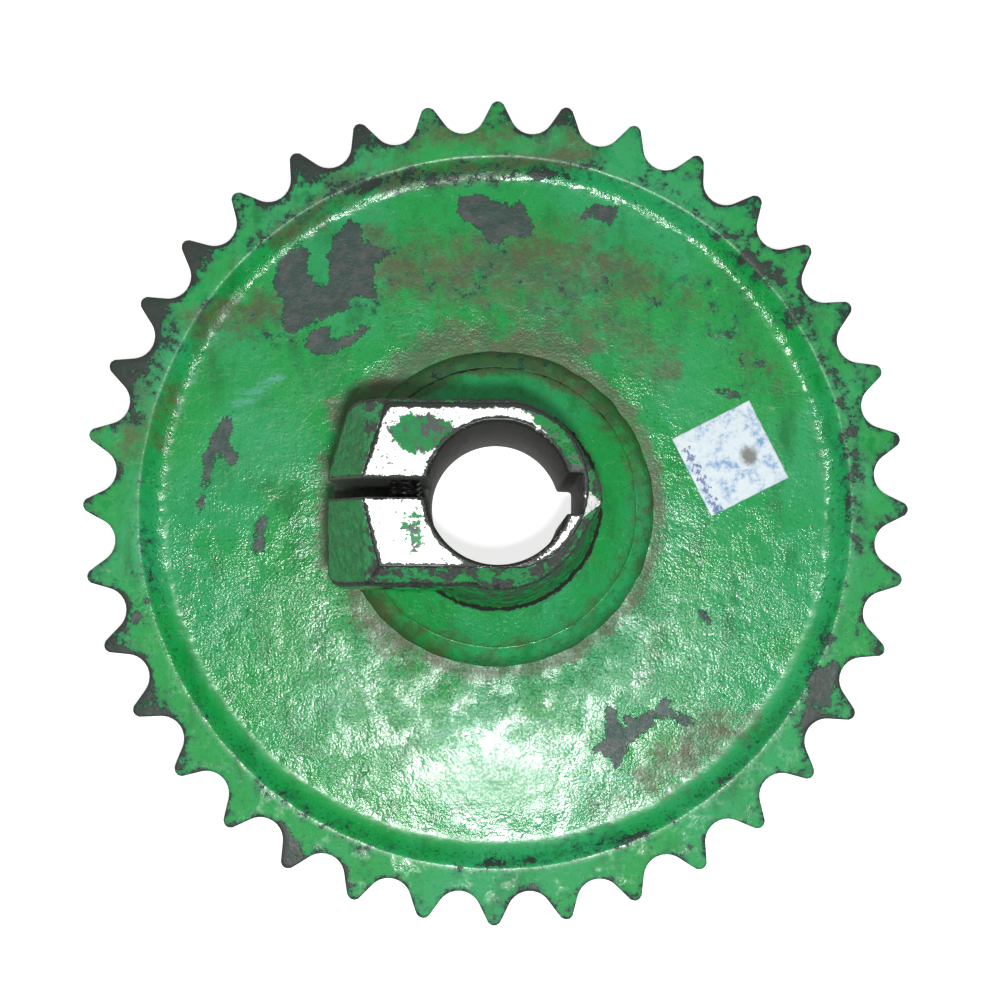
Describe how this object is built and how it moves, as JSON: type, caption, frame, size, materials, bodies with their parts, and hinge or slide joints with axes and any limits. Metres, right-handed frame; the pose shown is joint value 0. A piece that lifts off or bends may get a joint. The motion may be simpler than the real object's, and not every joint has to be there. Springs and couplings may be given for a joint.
{
  "type": "roller chain sprocket with clamp hub",
  "caption": "Roller-chain sprocket with a recessed web and a tall split clamp hub, keyed bore and two clamping screws.",
  "frame": {"origin": "on the bore's axis, in the plane of the rim's and hub's back faces, which the part lies on", "axes": "+Z along the bore's axis out of the hub's front face, +X from the axis to the keyway, so the clamp slot is on -X; +Y completes the right-handed frame"},
  "size_m": [0.224, 0.224, 0.065],
  "materials": {
    "plate_paint": "worn green enamel on steel, chipped to dark scale",
    "hub_paint": "worn green enamel, front face machined bare",
    "weld_paint": "green enamel over weld ripples, grimy",
    "label_foil": "pale holographic foil, scuffed",
    "screw_steel": "black oxide, worn at the edges",
    "washer_steel": "dull spring steel"
  },
  "bodies": {
    "sprocket": {"sprocket_plate": "plate_paint", "clamp_hub": "hub_paint", "front_weld_bead": "weld_paint", "back_weld_bead": "weld_paint", "security_label": "label_foil"},
    "front_washer": {"lock_washer_front": "washer_steel"},
    "front_screw": {"clamp_screw_front": "screw_steel"},
    "rear_washer": {"lock_washer_rear": "washer_steel"},
    "rear_screw": {"clamp_screw_rear": "screw_steel"}
  },
  "joints": [
    {"name": "front_screw_travel", "type": "slide", "parent": "sprocket", "child": "front_washer", "axis": [0, -1, 0], "range_m": [0, 0.0125]},
    {"name": "front_screw_turn", "type": "hinge", "parent": "front_washer", "child": "front_screw", "pos_m": [-0.0232, 0, 0.0522], "axis": [0, -1, 0], "range_deg": [0, 3600]},
    {"name": "rear_screw_travel", "type": "slide", "parent": "sprocket", "child": "rear_washer", "axis": [0, -1, 0], "range_m": [0, 0.0125]},
    {"name": "rear_screw_turn", "type": "hinge", "parent": "rear_washer", "child": "rear_screw", "pos_m": [-0.0232, 0, 0.0366], "axis": [0, -1, 0], "range_deg": [0, 3600]}
  ],
  "couplings": [
    {"joint": "front_screw_turn", "follows": "front_screw_travel", "rad_per_m": 5026.5},
    {"joint": "rear_screw_turn", "follows": "rear_screw_travel", "rad_per_m": 5026.5}
  ]
}
